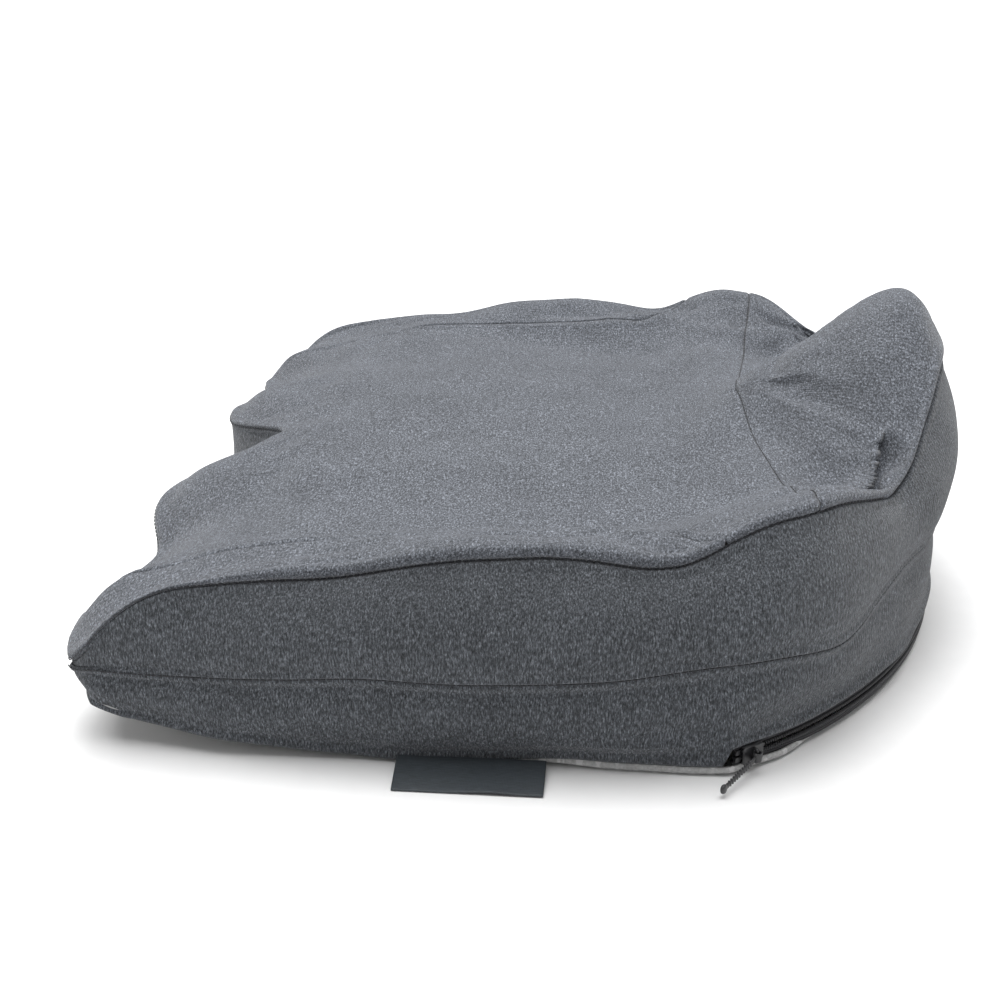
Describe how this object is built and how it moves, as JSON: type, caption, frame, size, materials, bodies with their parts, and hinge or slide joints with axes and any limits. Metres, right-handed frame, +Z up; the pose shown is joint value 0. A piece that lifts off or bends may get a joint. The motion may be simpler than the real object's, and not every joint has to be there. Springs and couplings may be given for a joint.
{
  "type": "seat cushion",
  "caption": "Contoured foam seat cushion with side ridges, a notched front, a raised tailbone lobe and a zipped knit cover with a blank side label.",
  "frame": {"origin": "on the floor plane, under the middle of the cushion's flat underside", "axes": "+Z up, the sitter faces -Y, +X is the sitter's left"},
  "size_m": [0.4652, 0.4184, 0.1582],
  "materials": {
    "foam": "open-cell memory foam",
    "knit_top": "blue-grey melange jersey knit",
    "knit_band": "dark grey melange jersey knit",
    "base_fabric": "pale grey plain fabric with small grip dots",
    "thread": "black polyester thread",
    "zip_tape": "black woven tape",
    "zip_coil": "black nylon coil",
    "zip_metal": "black satin enamel",
    "label": "dark slate satin-woven label, blank"
  },
  "bodies": {
    "cushion": {"foam_core": "foam", "seat_panel": "knit_top", "left_rim_strip": "knit_top", "right_rim_strip": "knit_top", "back_inner_panel": "knit_top", "left_side_band": "knit_band", "right_side_band": "knit_band", "lower_band": "knit_band", "front_band": "knit_band", "bottom_panel": "base_fabric", "main_seam_thread": "thread", "lower_seam_thread": "thread", "back_seam_thread": "thread", "left_strip_thread": "thread", "right_strip_thread": "thread", "zip_tape_upper": "zip_tape", "zip_tape_lower": "zip_tape", "zip_coil_upper": "zip_coil", "zip_coil_lower": "zip_coil", "zip_top_stops": "zip_metal", "zip_bottom_stop": "zip_metal"},
    "zip_slider": {"slider_body": "zip_metal", "slider_bridge": "zip_metal"},
    "zip_pull": {"pull_tab": "zip_metal"},
    "side_label": {"label": "label"}
  },
  "joints": [
    {"name": "zip_travel", "type": "hinge", "parent": "cushion", "child": "zip_slider", "pos_m": [0, -0.069, 0.0089], "axis": [0, 0, 1], "range_deg": [0, 109]},
    {"name": "pull_swing", "type": "hinge", "parent": "zip_slider", "child": "zip_pull", "pos_m": [0.21433, 0.08273, 0.0089], "axis": [0, 0, 1], "range_deg": [-5, 155]},
    {"name": "label_flap", "type": "hinge", "parent": "cushion", "child": "side_label", "pos_m": [0.21855, -0.038, 0.00435], "axis": [0, -1, 0], "range_deg": [0, 75]}
  ]
}
